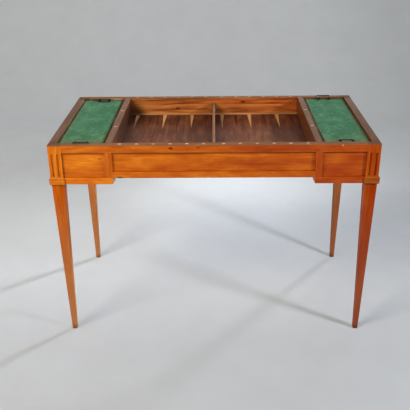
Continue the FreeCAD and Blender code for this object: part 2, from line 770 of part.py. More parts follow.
def bail_path(body, start):
    """The wire's middle line: out of one eye, along an arm, across the grip and back to the other eye."""
    sketch = start_sketch(body, "XY_Plane")
    reach = S["bail_reach"]
    bend = S["bail_bend"]
    runs = [((-start, ZERO), (bend - ARM_X, ZERO)), ((-ARM_X, bend), (-ARM_X, reach - bend)),
            ((bend - ARM_X, reach), (ARM_X - bend, reach)), ((ARM_X, reach - bend), (ARM_X, bend)),
            ((ARM_X - bend, ZERO), (start, ZERO))]
    centres = [(bend - ARM_X, bend), (bend - ARM_X, reach - bend), (ARM_X - bend, reach - bend),
               (ARM_X - bend, bend)]
    lines = [sketch.addGeometry(Part.LineSegment(as_vector(a), as_vector(b)), False) for a, b in runs]
    for line, run in zip(lines, runs):
        for corner, (x, y) in enumerate(run, start=1):
            tie(sketch, "DistanceX", line, corner, as_size(x))
            tie(sketch, "DistanceY", line, corner, as_size(y))
    for k, centre in enumerate(centres):
        leaving, arriving = as_vector(runs[k][1]), as_vector(runs[k + 1][0])
        middle = as_vector(centre)
        outward = (leaving + arriving) * 0.5 - middle
        crown = middle + outward.normalize() * bend.value
        arc = sketch.addGeometry(Part.Arc(leaving, crown, arriving), False)
        # every bend turns clockwise along the wire, so the arc starts where the wire arrives
        sketch.addConstraint(Sketcher.Constraint("Coincident", arc, 1, lines[k + 1], 1))
        sketch.addConstraint(Sketcher.Constraint("Coincident", arc, 2, lines[k], 2))
        place = sketch.addConstraint(Sketcher.Constraint("Radius", arc, bend.value))
        sketch.setExpression(f"Constraints[{place}]", bend.text)
    return sketch


# The whole table

def build_corners():
    """Four legs and their collars."""
    long_side, end_side = S["long_thickness"], S["end_thickness"]
    corners = {
        "front_left": (Seat(0, -HALF_WIDTH, -HALF_DEPTH), long_side, end_side),
        "front_right": (Seat(90, HALF_WIDTH, -HALF_DEPTH), end_side, long_side),
        "back_right": (Seat(180, HALF_WIDTH, HALF_DEPTH), long_side, end_side),
        "back_left": (Seat(270, -HALF_WIDTH, HALF_DEPTH), end_side, long_side),
    }
    for name, (seat, along, across) in corners.items():
        leg(f"{name}_leg", seat, along, across)
        collar(f"{name}_collar", seat)


def build_long_side(name, seat, left):
    """The frame and panels of the front or the back, with its bushes.

    left is the direction along local X of the table's own left end, -1 or 1.
    """
    long_top_rail(f"{name}_top_rail", seat)
    centre_lower_rail(f"{name}_centre_lower_rail", seat)
    centre_panel(f"{name}_centre_panel", seat)
    for hand, side in (("left", left), ("right", -left)):
        stile(f"{name}_{hand}_stile", seat, side)
        end_section_rail(f"{name}_{hand}_lower_rail", seat, side)
        low, high = (STILE_OUTER, LONG_SPAN) if side > 0 else (-LONG_SPAN, -STILE_OUTER)
        panel(f"{name}_{hand}_panel", seat, low, high, END_RAIL_TOP, S["long_thickness"])
    peg_bushes(f"{name}_peg_bushes", seat, long_peg_rows())


def build_end(name, seat):
    """The frame and panel of one short side."""
    top_rail(f"{name}_end_top_rail", seat, END_SPAN, S["end_thickness"])
    end_lower_rail(f"{name}_end_lower_rail", seat)
    panel(f"{name}_end_panel", seat, -END_SPAN, END_SPAN, END_RAIL_TOP, S["end_thickness"])


def build_inside():
    """Partitions, divider, board floor and well floors, with the strips that carry them."""
    for hand, side in (("left", -1), ("right", 1)):
        partition(f"{hand}_partition", side)
        floor_planks(f"{hand}_floor_planks", side)
        well_bottom(f"{hand}_well_bottom", side)
    divider("board_divider")
    inlaid_points("light_points", True)
    inlaid_points("dark_points", False)
    floor_beads("floor_beads")
    bearer, ledge = S["bearer_side"], S["ledge_side"]
    strips("floor_bearers", [(-BOARD_END, BOARD_END)], bearer, FLOOR_FOOT - bearer, FLOOR_FOOT)
    strips("well_bearers", both_ends(WELL_INNER, LONG_SPAN), bearer, END_FOOT, WELL_FOOT)
    strips("lid_ledges", both_ends(WELL_INNER, WELL_OUTER), ledge, LID_FOOT - ledge, LID_FOOT)
    partition_rows = [partition_peg_row(PARTITION_AXIS * side) for side in (-1, 1)]
    peg_bushes("partition_peg_bushes", MIDDLE, partition_rows)


def build_lids():
    """Two lift-out lids, each with its baize, its eyes and two bails."""
    for hand, side in (("left", -1), ("right", 1)):
        lid_layer(f"{hand}_lid_board", side, LID_FOOT, LID_TOP)
        lid_layer(f"{hand}_lid_baize", side, LID_TOP, BAIZE_TOP)
        lid_eyes(f"{hand}_lid_eyes", side)
        # the near bail of the left lid and the far bail of the right lid lie out over the rails
        bail(f"{hand}_front_bail", side, -1, folded_in=side > 0)
        bail(f"{hand}_back_bail", side, 1, folded_in=side < 0)


def write_parts():
    """Check every object and every piece, then write each piece to its own file."""
    document.recompute()
    for item in document.Objects:
        if "Invalid" in item.State or "Error" in item.State:
            raise RuntimeError(f"{item.Label} failed: {item.State}")
    for body in nodes:
        if body.Shape.isNull() or not body.Shape.isValid():
            raise RuntimeError(f"{body.Label} has no valid shape")
    os.makedirs("parts", exist_ok=True)
    for body in nodes:
        body.Shape.exportStep(f"parts/{body.Label}.step")
    print(len(nodes), "pieces written")


build_corners()
build_long_side("front", FRONT, -1)
build_long_side("back", BACK, 1)
build_end("left", LEFT)
build_end("right", RIGHT)
build_inside()
build_lids()
write_parts()
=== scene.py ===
"""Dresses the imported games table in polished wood, baize, bone and iron, on a plain pale studio floor."""

import json
import logging
import math
from collections.abc import Callable, Iterable, Mapping, Sequence
from dataclasses import dataclass
from enum import Enum
from functools import partial
from typing import Any, NamedTuple

import bpy
import numpy as np
from mathutils import Euler, Matrix, Vector


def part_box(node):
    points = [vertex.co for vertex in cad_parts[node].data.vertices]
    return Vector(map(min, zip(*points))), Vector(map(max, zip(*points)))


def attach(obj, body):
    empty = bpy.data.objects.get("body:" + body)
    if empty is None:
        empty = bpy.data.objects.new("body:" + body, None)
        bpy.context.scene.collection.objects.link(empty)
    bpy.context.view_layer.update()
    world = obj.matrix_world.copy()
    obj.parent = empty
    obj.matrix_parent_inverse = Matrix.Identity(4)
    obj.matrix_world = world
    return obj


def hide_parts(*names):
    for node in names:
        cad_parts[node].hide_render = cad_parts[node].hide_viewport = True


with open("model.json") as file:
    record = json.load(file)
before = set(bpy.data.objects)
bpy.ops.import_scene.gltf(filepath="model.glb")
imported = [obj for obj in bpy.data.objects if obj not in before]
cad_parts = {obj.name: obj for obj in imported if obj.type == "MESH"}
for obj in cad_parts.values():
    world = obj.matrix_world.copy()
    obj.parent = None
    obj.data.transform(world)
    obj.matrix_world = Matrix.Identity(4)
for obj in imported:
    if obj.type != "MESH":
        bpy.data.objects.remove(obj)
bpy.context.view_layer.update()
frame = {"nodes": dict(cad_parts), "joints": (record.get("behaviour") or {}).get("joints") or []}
NODES: dict[str, bpy.types.Object] = frame["nodes"]
log = logging.getLogger("games_table")

MM = 0.001
# the upper face of the rails
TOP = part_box("front_top_rail")[1].z
# an edge that turns by more than this stays crisp
SHARP = math.radians(40)
# painted shade for the shadowed corners of the board
PAINTED_CORNER_SHADE = "#24120a"
Node = bpy.types.Node
Socket = bpy.types.NodeSocket
Material = bpy.types.Material
# add_node for one tree
Add = Callable[..., Node]
Place = tuple[float, float, float]
Pair = tuple[float, float]
# settings of a colour mix
BLEND = {"data_type": "RGBA"}
MULTIPLY = {"data_type": "RGBA", "blend_type": "MULTIPLY"}


def linear(code: str) -> tuple[float, ...]:
    """Turn an sRGB hex colour into the linear colour that a shader takes.

    Args:
        code: Six hex digits, with or without a hash sign.

    Returns:
        Red, green, blue and an alpha of 1.
    """
    parts = [int(code.lstrip("#")[k:k + 2], 16) / 255 for k in (0, 2, 4)]
    red, green, blue = (p / 12.92 if p <= 0.04045 else ((p + 0.055) / 1.055) ** 2.4 for p in parts)
    return red, green, blue, 1.0


def add_node(tree: bpy.types.NodeTree, kind: str, inputs: Mapping[str, Any] | Sequence[Any] = (),
             ramp: Sequence[tuple[float, str]] = (), **settings: Any) -> Node:
    """Add one node with its settings, its input values and its links.

    Args:
        tree: The node tree that gets the node.
        kind: The node's type without the ShaderNode prefix.
        inputs: Values, nodes or sockets for the inputs, by name, or from the first one on.
        ramp: Stops of a colour ramp, as a position and a hex colour.
        settings: Properties of the node itself.

    Returns:
        The new node.
    """
    node = tree.nodes.new("ShaderNode" + kind)
    for name, value in settings.items():
        setattr(node, name, value)
    for place, (position, code) in enumerate(ramp):
        stops = node.color_ramp.elements
        stop = stops[place] if place < 2 else stops.new(position)
        stop.position, stop.color = position, linear(code)
    for key, value in inputs.items() if isinstance(inputs, Mapping) else enumerate(inputs):
        socket = node.inputs[key] if isinstance(key, int) else next(
            s for s in node.inputs if s.name == key and s.enabled)
        if isinstance(value, Node):
            value = next(s for s in value.outputs if s.enabled)
        if isinstance(value, Socket):
            tree.links.new(value, socket)
        else:
            socket.default_value = value
    return node


def measure_span(add: Add, place: Node, centre: Place, half_size: Place) -> Socket:
    """Measure how far a place is from the middle of an ellipsoid.

    Args:
        add: Adds a node to the tree.
        place: The place.
        centre: The middle, in the place's own unit.
        half_size: The half axes, in the same unit.

    Returns:
        The socket that gives the distance, which is 1 on the ellipsoid.
    """
    away = add("VectorMath", (place, centre), operation="SUBTRACT")
    scaled = add("VectorMath", (away, half_size), operation="DIVIDE")
    return add("VectorMath", (scaled,), operation="LENGTH").outputs["Value"]


def start_material(name: str) -> tuple[Material, Add, Node]:
    """Make a node material that has nothing yet but the surface's own place.

    Args:
        name: The material's name.

    Returns:
        The material, the function that adds a node to it, and the node that gives the place in mm.
    """
    material = bpy.data.materials.new(name)
    material.use_nodes = True
    material.node_tree.nodes.clear()
    add = partial(add_node, material.node_tree)
    coords = add("TexCoord").outputs["Object"]
    place = add("VectorMath", {"Vector": coords, "Scale": 1 / MM}, operation="SCALE")
    return material, add, place


class Hand(Enum):
    """An end of the table, with the sign of X there."""

    LEFT = -1
    RIGHT = 1


class Edge(Enum):
    """A short edge of a lid, with the sign of Y there."""

    FRONT = -1
    BACK = 1


class Grain(Enum):
    """The direction that the fibres of a board run in, with the number of that axis."""

    ALONG_X = 0
    ALONG_Y = 1
    ALONG_Z = 2

    def spread(self, along: float, across: float) -> Place:
        """Sizes on the three axes of a pattern with these two, along and across the fibres."""
        return tuple(along if axis == self.value else across for axis in range(3))

    @property
    def thickness_axis(self) -> str:
        """The axis that a wall of the table with this grain is thin along."""
        return "X" if self is Grain.ALONG_Y else "Y"


@dataclass(frozen=True)
class Tones:
    """The dark, middle and light colour of a wood's or cloth's figure."""

    dark: str
    middle: str
    light: str

    def ramp(self, contrast: float) -> tuple[tuple[float, str], ...]:
        """Stops about the middle of a noise that reaches this far to each side of it."""
        return (0.5 - contrast, self.dark), (0.5, self.middle), (0.5 + contrast, self.light)


@dataclass(frozen=True)
class Mark:
    """A knot, stained patch, chipped spot, painted shade or painted highlight in a board: its place and
    half size in mm, its strength and its colour.
    """

    place: Place
    half_size: Place
    strength: float
    colour: str = "#2c1206"
    # the share of the half size that has the full strength
    core: float = 0.35


class Figure(NamedTuple):
    """The patterns that one board's colour, gloss and relief are worked out from."""

    bands: Node
    fibres: Node
    clouds: Node
    streaks: Node
    pores: Node


@dataclass(frozen=True)
class PolishedWood:
    """Solid hardwood, planed and french-polished.

    Gives the eye a warm gloss over soft fibres, with cloudy patches of redder colour, short dark pores,
    grime and painted shade in the inner corners and, on the upper faces, a dull grey-brown where the polish
    has worn away.
    """

    name: str
    grain: Grain
    tones: Tones
    contrast: float = 0.22
    # how much of the figure is clouds and not fibres
    cloud_share: float = 0.3
    # filters towards the right end, outside and inside, for redder wood and painted shade, the run of that
    # change in mm, and how far it strays in patches
    stain_and_shade: str = ""
    inside_stain_and_shade: str = "#faccae"
    stain_and_shade_run: Pair = (-470.0, 490.0)
    stain_and_shade_stray: float = 0.2
    # the figure of the faces that look into the table, and the places in mm between which it gives way,
    # which are below zero on faces that look towards the middle
    inside: Tones | None = None
    inside_contrast: float = 0.17
    inside_run: Pair = (-120.0, -60.0)
    # the figure of a leg below its collar, and the heights in mm between which it ends
    below_collar: Tones | None = None
    collar_run: Pair = (600.0, 620.0)
    # the paler colour of a leg's foot, from polish rubbed thin and painted light bounced off the floor, its
    # share, and the heights in mm between which it fades out
    worn_and_floor_lit_foot: str = ""
    pale_foot_share: float = 0.85
    pale_foot_run: Pair = (120.0, 570.0)
    # how much light the darker very foot keeps, and the heights in mm between which that darkening fades
    # out
    foot_darkening_light: float = 0.55
    foot_darkening_run: Pair = (4.0, 26.0)
    # the bare wood of the upper faces, their height in mm, and the depths between which the wear grows
    worn: str = ""
    worn_level: float = TOP / MM
    worn_depths: Pair = (5.0, 2.0)
    worn_roughness: float = 0.55
    # the polish, and how far its roughness strays down and up along the fibres
    roughness: float = 0.34
    roughness_strays: Pair = (0.06, 0.08)
    shine: float = 0.16
    coat: float = 0.04
    coat_roughness: float = 0.2
    # how far apart boards are cut, the size of the slow bands, and how far these bend the fibres
    trunk_mm: Place = (911.0, 577.0, 733.0)
    band_mm: Pair = (380.0, 60.0)
    wander_mm: float = 34.0
    fibre_mm: float = 6.0
    # how far from a corner its painted shade and grime reach, and how much light these leave
    dirt_and_shade_mm: float = 5.0
    dirt_and_shade_depth: float = 0.38
    # how round the arrises are, how deep the pores, and how much light these leave
    arris_mm: float = 0.7
    pore_depth_mm: float = 0.12
    pore_light: float = 0.78
    marks: tuple[Mark, ...] = ()

    def draw_figure(self, add: Add, place: Node) -> Figure:
        """Draw the patterns of the wood: slow bands bend the fibres, the clouds and the pores alike.

        Args:
            add: Adds a node to the material.
            place: The place in mm.

        Returns:
            The patterns.
        """
        # every board is cut from another part of the trunk
        chance = add("ObjectInfo").outputs["Random"]
        shift = add("VectorMath", {"Vector": self.trunk_mm, "Scale": chance}, operation="SCALE")
        cut = add("VectorMath", (place, shift), operation="ADD")
        slow = add("VectorMath", (cut, self.grain.spread(*self.band_mm)), operation="DIVIDE")
        bands = add("TexNoise", {"Vector": slow, "Scale": 1.0, "Detail": 2.0})
        sway = {"Vector": bands.outputs["Color"], "Scale": self.wander_mm}
        wander = add("VectorMath", sway, operation="SCALE")
        bent = add("VectorMath", (cut, wander), operation="ADD")
        # length and width in mm, and detail, where pores are about four times as wide as real, to show
        sizes = {"fibres": (160.0, self.fibre_mm, 4.0), "clouds": (75.0, 26.0, 3.0),
                 "streaks": (170.0, 10.0, 3.0), "pores": (17.0, 1.1, 1.0)}
        patterns = {}
        for pattern, (along, across, detail) in sizes.items():
            scaled = add("VectorMath", (bent, self.grain.spread(along, across)), operation="DIVIDE")
            patterns[pattern] = add("TexNoise", {"Vector": scaled, "Scale": 1.0, "Detail": detail})
        return Figure(bands, **patterns)

    def colour_figure(self, add: Add, place: Node, figure: Figure) -> Node:
        """Turn the patterns into the wood's own colour, outside and inside the table.

        Args:
            add: Adds a node to the material.
            place: The place in mm.
            figure: The patterns.

        Returns:
            The node that gives the colour.
        """
        where = add("SeparateXYZ", (place,)).outputs
        mixed = add("Mix", {"Factor": self.cloud_share, "A": figure.fibres, "B": figure.clouds})
        tone = add("ValToRGB", (mixed,), ramp=self.tones.ramp(self.contrast))
        if self.below_collar:
            lower = add("ValToRGB", (mixed,), ramp=self.below_collar.ramp(self.contrast))
            share = add("MapRange", (where["Z"], *self.collar_run, 1.0, 0.0))
            tone = add("Mix", {"Factor": share, "A": tone, "B": lower}, **BLEND)
        if self.worn_and_floor_lit_foot:
            # towards the floor the polish is rubbed thin and painted light bounced off the floor pales it,
            # and the very foot is darker
            rubbed = add("MapRange", (where["Z"], *self.pale_foot_run, self.pale_foot_share, 0.0))
            tone = add("Mix", {"Factor": rubbed, "A": tone, "B": linear(self.worn_and_floor_lit_foot)}, **BLEND)
            darker_foot = add("MapRange", (where["Z"], *self.foot_darkening_run, self.foot_darkening_light, 1.0))
            tone = add("Mix", {"Factor": 1.0, "A": tone, "B": darker_foot}, **MULTIPLY)
        # towards the right end the wood is redder and darker, in patches, partly its own colour and partly
        # painted shade
        rightward = add("MapRange", (where["X"], *self.stain_and_shade_run))
        patch = add("MapRange", (figure.bands, 0.35, 0.65, -self.stain_and_shade_stray, self.stain_and_shade_stray))
        red = add("Math", (rightward, patch), operation="ADD", use_clamp=True)
        if self.stain_and_shade:
            tone = add("Mix", {"Factor": red, "A": tone, "B": linear(self.stain_and_shade)}, **MULTIPLY)
        if self.inside:
            # the faces that look into the table, against their own side of it, were only oiled
            axis = self.grain.thickness_axis
            normal = add("SeparateXYZ", (add("NewGeometry").outputs["Normal"],)).outputs
            toward = add("Math", (normal[axis], where[axis]), operation="MULTIPLY")
            inward = add("MapRange", (toward, *self.inside_run, 1.0, 0.0))
            oiled = add("ValToRGB", (figure.streaks,), ramp=self.inside.ramp(self.inside_contrast))
            oiled = add("Mix", {"Factor": red, "A": oiled, "B": linear(self.inside_stain_and_shade)}, **MULTIPLY)
            tone = add("Mix", {"Factor": inward, "A": tone, "B": oiled}, **BLEND)
        pored = add("MapRange", (figure.pores, 0.6, 0.72, 1.0, self.pore_light))
        return add("Mix", {"Factor": 1.0, "A": tone, "B": pored}, **MULTIPLY)

    def add_marks(self, add: Add, place: Node, colour: Node) -> Node:
        """Lay the knots, stains, chips, painted shades and painted highlights over the colour, each an
        ellipsoid that fades out at its rim.

        Args:
            add: Adds a node to the material.
            place: The place in mm.
            colour: The wood's own colour.

        Returns:
            The node that gives the marked colour.
        """
        for mark in self.marks:
            span = measure_span(add, place, mark.place, mark.half_size)
            fade = (span, mark.core, 1.0, mark.strength, 0.0)
            share = add("MapRange", fade, interpolation_type="SMOOTHSTEP")
            colour = add("Mix", {"Factor": share, "A": colour, "B": linear(mark.colour)}, **BLEND)
        return colour

    def add_wear(self, add: Add, place: Node, figure: Figure, colour: Node) -> tuple[Node, Node]:
        """Dull the upper faces and their arrises, and paint shade and grime into the inner corners.

        Args:
            add: Adds a node to the material.
            place: The place in mm.
            figure: The patterns.
            colour: The colour so far.

        Returns:
            The nodes that give the final colour and the roughness.
        """
        down, up = self.roughness_strays
        gloss = add("MapRange", (figure.fibres, 0.2, 0.8, self.roughness - down, self.roughness + up))
        if self.worn:
            height = add("SeparateXYZ", (place,)).outputs["Z"]
            normal = add("SeparateXYZ", (add("NewGeometry").outputs["Normal"],)).outputs
            levels = (self.worn_level - depth for depth in self.worn_depths)
            at_top = add("MapRange", (height, *levels))
            upward = add("MapRange", (normal["Z"], 0.5, 0.9, 0.8, 1.0))
            share = add("Math", (at_top, upward), operation="MULTIPLY")
            streak = add("MapRange", (figure.streaks, 0.3, 0.7, 0.72, 1.28))
            bare = add("Mix", {"Factor": 1.0, "A": linear(self.worn), "B": streak}, **MULTIPLY)
            colour = add("Mix", {"Factor": share, "A": colour, "B": bare}, **BLEND)
            gloss = add("MapRange", {"Value": share, "To Min": gloss, "To Max": self.worn_roughness})
        # ambient occlusion paints shade and grime into the corners
        corners = add("AmbientOcclusion", {"Distance": self.dirt_and_shade_mm * MM}, samples=6).outputs["AO"]
        darkening = add("MapRange", (corners, 0.4, 0.8, self.dirt_and_shade_depth, 1.0))
        return add("Mix", {"Factor": 1.0, "A": colour, "B": darkening}, **MULTIPLY), gloss

    def make(self) -> Material:
        """Build the material.

        Returns:
            The material.
        """
        material, add, place = start_material(self.name)
        figure = self.draw_figure(add, place)
        colour = self.add_marks(add, place, self.colour_figure(add, place, figure))
        colour, gloss = self.add_wear(add, place, figure, colour)
        arrises = add("Bevel", {"Radius": self.arris_mm * MM}, samples=4)
        relief = add("Bump", {"Height": figure.pores, "Strength": 0.25, "Normal": arrises,
                              "Distance": self.pore_depth_mm * MM})
        shader = add("BsdfPrincipled", {
            "Base Color": colour, "Roughness": gloss, "Normal": relief, "Specular IOR Level": self.shine,
            "Coat Weight": self.coat, "Coat Roughness": self.coat_roughness})
        add("OutputMaterial", {"Surface": shader})
        return material


@dataclass(frozen=True)
class WoolBaize:
    """Green baize: plain woven wool, fulled and napped until the weave is hidden.

    Gives the eye a matt, slightly cloudy green with a soft sheen, paler where it is rubbed, with pale lint,
    a brown rim where hands and glue have dirtied it, and a painted shadow beside the partition.
    """

    name: str
    tones: Tones
    lint: str
    rubbed: str
    soiled_and_shaded: str
    # how far apart the tones lie, and how much of the figure is brush strokes and not clouds
    contrast: float = 0.18
    stroke_share: float = 0.45
    # sizes of the clouds and brush strokes, and the space between bits of lint, in mm
    cloud_mm: Place = (34.0, 52.0, 34.0)
    stroke_mm: Place = (12.0, 7.0, 7.0)
    lint_mm: float = 13.0
    # the nap is drawn as coarse as it needs to show, about twice the real length of its fibres
    nap_per_mm: float = 0.9
    nap_depth_mm: float = 0.35
    # the sheet's own measure of how dirtied it is and of the painted shadow beside the partition
    soil_and_shade_attribute: str = "soil"

    def make(self) -> Material:
        """Build the material.

        Returns:
            The material.
        """
        material, add, place = start_material(self.name)
        wide = add("VectorMath", (place, self.cloud_mm), operation="DIVIDE")
        clouds = add("TexNoise", {"Vector": wide, "Scale": 1.0, "Detail": 4.0, "Roughness": 0.6})
        streaky = add("VectorMath", (place, self.stroke_mm), operation="DIVIDE")
        strokes = add("TexNoise", {"Vector": streaky, "Scale": 1.0, "Detail": 3.0})
        mixed = add("Mix", {"Factor": self.stroke_share, "A": clouds, "B": strokes})
        colour = add("ValToRGB", (mixed,), ramp=self.tones.ramp(self.contrast))
        nap = add("TexNoise", {"Vector": place, "Scale": self.nap_per_mm, "Detail": 3.0, "Roughness": 0.7})
        tuft = add("MapRange", (nap, 0.3, 0.7, 0.84, 1.14))
        colour = add("Mix", {"Factor": 1.0, "A": colour, "B": tuft}, **MULTIPLY)
        specks = add("TexVoronoi", {"Vector": place, "Scale": 1 / self.lint_mm, "Randomness": 1.0})
        bits = add("MapRange", (specks, 0.03, 0.07, 0.5, 0.0))
        colour = add("Mix", {"Factor": bits, "A": colour, "B": linear(self.lint)}, **BLEND)
        rim = add("Attribute", attribute_name=self.soil_and_shade_attribute).outputs["Fac"]
        patchy = add("MapRange", (clouds, 0.3, 0.7, 0.5, 1.3))
        share = add("Math", (rim, patchy), operation="MULTIPLY", use_clamp=True)
        soil = add("ValToRGB", (share,), ramp=((0.4, self.rubbed), (0.8, self.soiled_and_shaded)))
        colour = add("Mix", {"Factor": share, "A": colour, "B": soil}, **BLEND)
        relief = add("Bump", {"Height": nap, "Strength": 0.5, "Distance": self.nap_depth_mm * MM})
        shader = add("BsdfPrincipled", {
            "Base Color": colour, "Roughness": 0.95, "Normal": relief, "Specular IOR Level": 0.05,
            "Sheen Weight": 0.02, "Sheen Roughness": 0.5})
        add("OutputMaterial", {"Surface": shader})
        return material


@dataclass(frozen=True)
class TurnedBone:
    """Bone, turned on a lathe and handled for a long time.

    Gives the eye a yellowed cream with fine dark canals and a dull polish, browner inside the hole.
    """

    name: str
    pale: str
    yellow: str
    canal: str
    # sizes of the yellowed patches and the canals, and the canals' depth, in mm
    patch_mm: float = 24.0
    canal_mm: float = 0.625
    canal_depth_mm: float = 0.1
    # depths below the rails' top between which the bone grows darker downwards, in mm, and the light that
    # it keeps at the lower one
    darkening_depths: Pair = (2.5, 0.4)
    darkening_light: float = 0.18

    def make(self) -> Material:
        """Build the material.

        Returns:
            The material.
        """
        material, add, place = start_material(self.name)
        ageing = add("TexNoise", {"Vector": place, "Scale": 1 / self.patch_mm, "Detail": 2.0})
        colour = add("ValToRGB", (ageing,), ramp=((0.35, self.yellow), (0.65, self.pale)))
        canals = add("TexNoise", {"Vector": place, "Scale": 1 / self.canal_mm, "Detail": 2.0})
        dots = add("MapRange", (canals, 0.62, 0.72, 0.0, 0.6))
        colour = add("Mix", {"Factor": dots, "A": colour, "B": linear(self.canal)}, **BLEND)
        height = add("SeparateXYZ", (place,)).outputs["Z"]
        levels = (TOP / MM - depth for depth in self.darkening_depths)
        darkening = add("MapRange", (height, *levels, self.darkening_light, 1.0))
        colour = add("Mix", {"Factor": 1.0, "A": colour, "B": darkening}, **MULTIPLY)
        relief = add("Bump", {"Height": canals, "Strength": 0.2, "Distance": self.canal_depth_mm * MM})
        shader = add("BsdfPrincipled", {
            "Base Color": colour, "Roughness": 0.4, "Normal": relief, "IOR": 1.54})
        add("OutputMaterial", {"Surface": shader})
        return material


@dataclass(frozen=True)
class ForgedIron:
    """Iron, hammered to shape and blackened, with an old green-black wax bloom.

    Gives the eye a dull dark metal with small hammered flats and brighter rubbed patches.
    """

    name: str
    dark: str
    rubbed: str
    # sizes of the bloom's patches and of the hammered flats, and the flats' depth, in mm
    bloom_mm: float = 5.0
    flat_mm: float = 2.2
    flat_depth_mm: float = 0.2

    def make(self) -> Material:
        """Build the material.

        Returns:
            The material.
        """
        material, add, place = start_material(self.name)
        bloom = add("TexNoise", {
            "Vector": place, "Scale": 1 / self.bloom_mm, "Detail": 4.0, "Roughness": 0.65})
        colour = add("ValToRGB", (bloom,), ramp=((0.42, self.dark), (0.72, self.rubbed)))
        gloss = add("MapRange", (bloom, 0.35, 0.7, 0.62, 0.38))
        flats = add("TexVoronoi", {"Vector": place, "Scale": 1 / self.flat_mm}, feature="SMOOTH_F1")
        relief = add("Bump", {"Height": flats, "Strength": 0.35, "Distance": self.flat_depth_mm * MM})
        shader = add("BsdfPrincipled", {
            "Base Color": colour, "Metallic": 0.85, "Roughness": gloss, "Normal": relief})
        add("OutputMaterial", {"Surface": shader})
        return material


def dress(names: Iterable[str], finish: Material) -> None:
    """Give CAD nodes a finish in place of their packed material.

    Args:
        names: Names of the nodes.
        finish: The material.
    """
    for name in names:
        mesh = NODES[name].data
        mesh.materials.clear()
        mesh.materials.append(finish)
        log.info("dressed %s in %s", name, finish.name)


def grid_faces(rows: int, columns: int, ring_rows: bool = False, ring_columns: bool = False) -> np.ndarray:
    """Quads of a grid of points numbered row by row.

    Args:
        rows: Number of rows.
        columns: Number of points in a row.
        ring_rows: Whether the last row joins the first.
        ring_columns: Whether each row's end joins its own start.

    Returns:
        An array of four point numbers for each face.
    """
    row = np.arange(rows if ring_rows else rows - 1)[:, None]
    column = np.arange(columns if ring_columns else columns - 1)[None, :]
    below, after = (row + 1) % rows * columns, (column + 1) % columns
    row = row * columns
    return np.stack([row + column, row + after, below + after, below + column], -1).reshape(-1, 4)


def make_object(name: str, points: np.ndarray, faces: Sequence[Sequence[int]],
                finish: Material) -> bpy.types.Object:
    """Put worked-out points and faces into a new object, smooth but for its sharp edges.

    Args:
        name: The object's name.
        points: Points in metres, three numbers each.
        faces: Point numbers of each face.
        finish: The object's material.

    Returns:
        The new object.
    """
    mesh = bpy.data.meshes.new(name)
    mesh.from_pydata(points.reshape(-1, 3).tolist(), [], faces)
    mesh.polygons.foreach_set("use_smooth", np.ones(len(mesh.polygons), bool))
    mesh.set_sharp_from_angle(angle=SHARP)
    mesh.materials.append(finish)
    made = bpy.data.objects.new(name, mesh)
    bpy.context.scene.collection.objects.link(made)
    log.info("built %s with %d faces", name, len(mesh.polygons))
    return made


